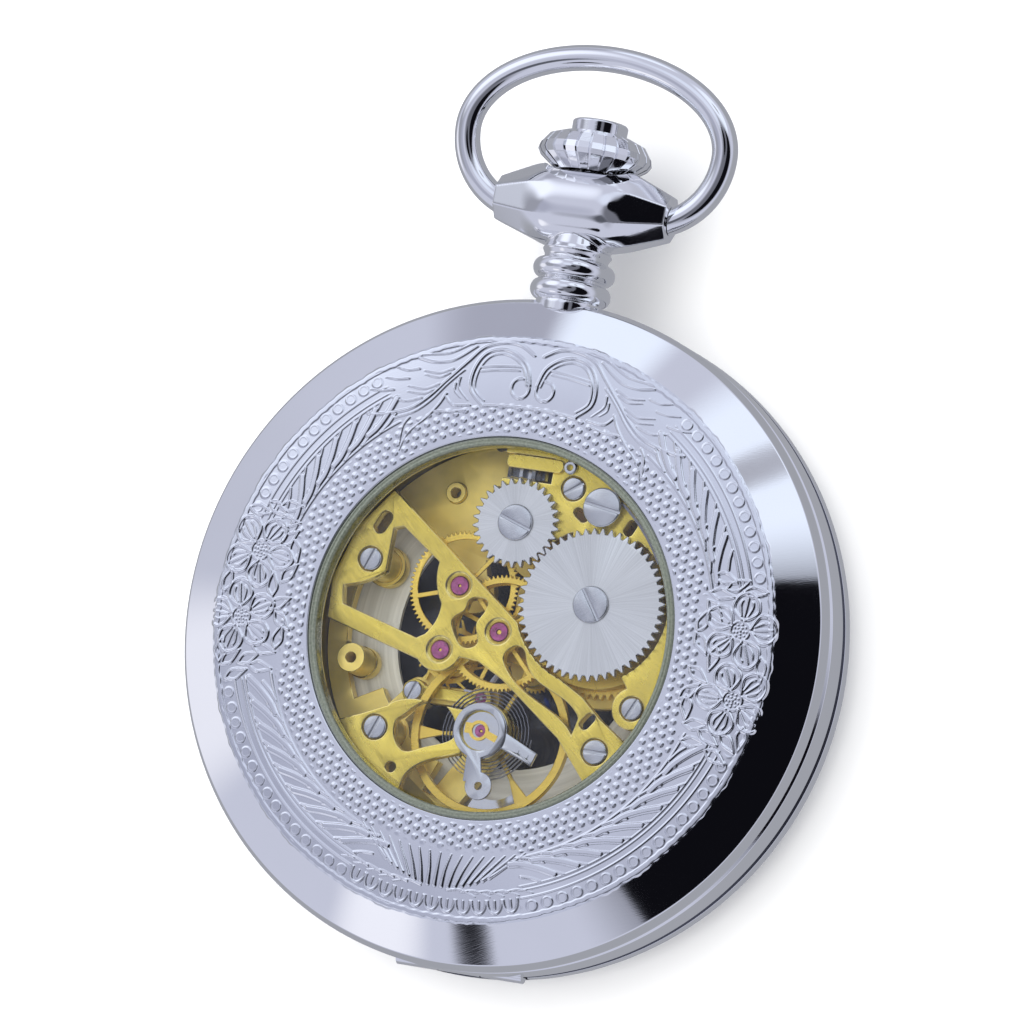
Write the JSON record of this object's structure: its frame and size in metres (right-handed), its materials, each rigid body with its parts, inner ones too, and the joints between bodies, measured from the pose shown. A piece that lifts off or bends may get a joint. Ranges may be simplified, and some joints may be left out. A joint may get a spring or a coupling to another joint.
{
  "type": "hunter pocket watch",
  "caption": "Hinged hunter-case pocket watch with an engraved glazed display back, a hand-wound skeleton movement, a fluted crown with a lid release and an oval bow.",
  "frame": {"origin": "centre of the flat outer face of the closed front lid, on the case axis", "axes": "+Z out of the display back, +Y towards the pendant at 12 o'clock, +X to the right seen from the back"},
  "size_m": [0.048, 0.0667, 0.0112],
  "materials": {
    "case_metal": "polished",
    "glass": "polished",
    "gasket": "gloss",
    "spring_steel": "polished",
    "ring_metal": "satin",
    "screw_steel": "polished",
    "wheel_steel": "sunray brushed",
    "gold_plate": "frosted",
    "gold_bridge": "brushed",
    "gold_wheel": "brushed",
    "polished_steel": "polished",
    "jewel": "polished",
    "dial_paint": "gloss",
    "hand_blue": "blued"
  },
  "bodies": {
    "case": {"back_cover": "case_metal", "back_crystal": "glass", "balance_cock": "gold_bridge", "barrel_bridge": "gold_bridge", "bridge_screws": "screw_steel", "case_middle": "case_metal", "case_screws": "screw_steel", "catch_spring": "spring_steel", "click_screw": "screw_steel", "click_spring": "spring_steel", "crown_wheel_screw": "screw_steel", "crystal_gasket": "gasket", "dial": "dial_paint", "front_bezel": "case_metal", "front_crystal": "glass", "index_plate": "polished_steel", "lid_hinge_pin": "case_metal", "lift_spring": "spring_steel", "main_plate": "gold_plate", "movement_ring": "ring_metal", "pallet_cock": "gold_bridge", "pendant": "case_metal", "pivot_jewels": "jewel", "setting_lever_screw": "screw_steel", "shock_setting": "polished_steel", "shock_spring": "gold_wheel", "stud_carrier": "polished_steel", "train_bridge": "gold_bridge"},
    "front_lid": {"front_lid": "case_metal"},
    "bow": {"bow": "case_metal"},
    "winding_stem": {"winding_stem": "wheel_steel", "winding_pinion": "wheel_steel"},
    "crown": {"crown": "case_metal", "button_spring": "spring_steel"},
    "release_button": {"release_button": "case_metal"},
    "lid_catch": {"lid_catch": "spring_steel"},
    "sliding_pinion": {"sliding_pinion": "wheel_steel"},
    "setting_lever": {"setting_lever": "wheel_steel"},
    "yoke": {"yoke": "wheel_steel"},
    "crown_wheel": {"crown_wheel": "wheel_steel"},
    "ratchet": {"ratchet_wheel": "wheel_steel", "ratchet_screw": "screw_steel", "barrel_arbor": "wheel_steel"},
    "click": {"click": "wheel_steel"},
    "barrel": {"barrel": "gold_wheel", "mainspring": "spring_steel"},
    "centre_wheel": {"centre_wheel": "gold_wheel", "cannon_pinion": "wheel_steel", "minute_hand": "hand_blue"},
    "third_wheel": {"third_wheel": "gold_wheel"},
    "fourth_wheel": {"fourth_wheel": "gold_wheel", "second_hand": "hand_blue"},
    "escape_wheel": {"escape_wheel": "gold_wheel"},
    "pallet_fork": {"pallet_fork": "wheel_steel"},
    "balance": {"balance_wheel": "gold_wheel", "hairspring": "spring_steel"},
    "minute_wheel": {"minute_wheel": "gold_wheel"},
    "hour_wheel": {"hour_wheel": "gold_wheel", "hour_hand": "hand_blue"},
    "regulator": {"regulator": "polished_steel"}
  },
  "joints": [
    {"name": "lid_hinge", "type": "hinge", "parent": "case", "child": "front_lid", "pos_m": [0, -0.02335, 0.00445], "axis": [-1, 0, 0], "range_deg": [0, 95]},
    {"name": "bow_swing", "type": "hinge", "parent": "case", "child": "bow", "pos_m": [0, 0.031, 0.0071], "axis": [1, 0, 0], "range_deg": [-95, 65]},
    {"name": "crown_turn", "type": "hinge", "parent": "case", "child": "winding_stem", "pos_m": [0, 0.015, 0.0071], "axis": [0, 1, 0], "continuous": true},
    {"name": "crown_pull", "type": "slide", "parent": "winding_stem", "child": "crown", "axis": [0, 1, 0], "range_m": [0, 0.001]},
    {"name": "button_press", "type": "slide", "parent": "crown", "child": "release_button", "axis": [0, -1, 0], "range_m": [0, 0.00045], "stiffness_N_per_m": 400},
    {"name": "catch_slide", "type": "slide", "parent": "case", "child": "lid_catch", "axis": [0, -1, 0], "range_m": [0, 0.00045]},
    {"name": "clutch_slide", "type": "slide", "parent": "winding_stem", "child": "sliding_pinion", "axis": [0, -1, 0], "range_m": [0, 0.0005]},
    {"name": "lever_swing", "type": "hinge", "parent": "case", "child": "setting_lever", "pos_m": [0.00275, 0.013, 0.007], "axis": [0, 0, 1], "range_deg": [-8, 0]},
    {"name": "yoke_swing", "type": "hinge", "parent": "case", "child": "yoke", "pos_m": [-0.00275, 0.0133, 0.007], "axis": [0, 0, 1], "range_deg": [-9, 0]},
    {"name": "crown_wheel_turn", "type": "hinge", "parent": "case", "child": "crown_wheel", "pos_m": [0, 0.00778, 0.007], "axis": [0, 0, 1], "continuous": true},
    {"name": "ratchet_turn", "type": "hinge", "parent": "case", "child": "ratchet", "pos_m": [0.00663, 0.00278, 0.007], "axis": [0, 0, 1], "continuous": true},
    {"name": "click_swing", "type": "hinge", "parent": "case", "child": "click", "pos_m": [0.0062, 0.00967, 0.007], "axis": [0, 0, 1], "range_deg": [0, 8], "stiffness_Nm_per_rad": 0.00001},
    {"name": "barrel_turn", "type": "hinge", "parent": "case", "child": "barrel", "pos_m": [0.00663, 0.00278, 0.007], "axis": [0, 0, 1], "continuous": true},
    {"name": "centre_turn", "type": "hinge", "parent": "case", "child": "centre_wheel", "pos_m": [0, 0, 0.007], "axis": [0, 0, 1], "continuous": true},
    {"name": "third_turn", "type": "hinge", "parent": "case", "child": "third_wheel", "pos_m": [-0.00352, 0.00285, 0.007], "axis": [0, 0, 1], "continuous": true},
    {"name": "seconds_turn", "type": "hinge", "parent": "case", "child": "fourth_wheel", "pos_m": [0, 0, 0.007], "axis": [0, 0, 1], "continuous": true},
    {"name": "escape_turn", "type": "hinge", "parent": "case", "child": "escape_wheel", "pos_m": [-0.00411, -0.00185, 0.007], "axis": [0, 0, 1], "continuous": true},
    {"name": "pallet_swing", "type": "hinge", "parent": "case", "child": "pallet_fork", "pos_m": [-0.00128, -0.00463, 0.007], "axis": [0, 0, 1], "range_deg": [-5, 5]},
    {"name": "balance_swing", "type": "hinge", "parent": "case", "child": "balance", "pos_m": [0.00011, -0.00713, 0.007], "axis": [0, 0, 1], "range_deg": [-150, 150], "stiffness_Nm_per_rad": 0.0000005, "deforming": ["hairspring"]},
    {"name": "minute_wheel_turn", "type": "hinge", "parent": "case", "child": "minute_wheel", "pos_m": [0.0017, -0.0017, 0.007], "axis": [0, 0, 1], "continuous": true},
    {"name": "hour_turn", "type": "hinge", "parent": "case", "child": "hour_wheel", "pos_m": [0, 0, 0.007], "axis": [0, 0, 1], "continuous": true},
    {"name": "regulator_turn", "type": "hinge", "parent": "case", "child": "regulator", "pos_m": [0.00011, -0.00713, 0.007], "axis": [0, 0, 1], "range_deg": [-12, 12]}
  ],
  "couplings": [
    {"joint": "catch_slide", "follows": "button_press", "ratio": 1},
    {"joint": "crown_wheel_turn", "follows": "crown_turn", "ratio": -0.46667},
    {"joint": "ratchet_turn", "follows": "crown_turn", "ratio": 0.26923},
    {"joint": "centre_turn", "follows": "seconds_turn", "ratio": 0.016667},
    {"joint": "third_turn", "follows": "seconds_turn", "ratio": -0.13333},
    {"joint": "barrel_turn", "follows": "seconds_turn", "ratio": -0.0027778},
    {"joint": "escape_turn", "follows": "seconds_turn", "ratio": -10},
    {"joint": "minute_wheel_turn", "follows": "seconds_turn", "ratio": -0.0055556},
    {"joint": "hour_turn", "follows": "seconds_turn", "ratio": 0.0013889},
    {"joint": "clutch_slide", "follows": "crown_pull", "ratio": 0.5},
    {"joint": "lever_swing", "follows": "crown_pull", "rad_per_m": -139.63},
    {"joint": "yoke_swing", "follows": "crown_pull", "rad_per_m": -157.08}
  ]
}
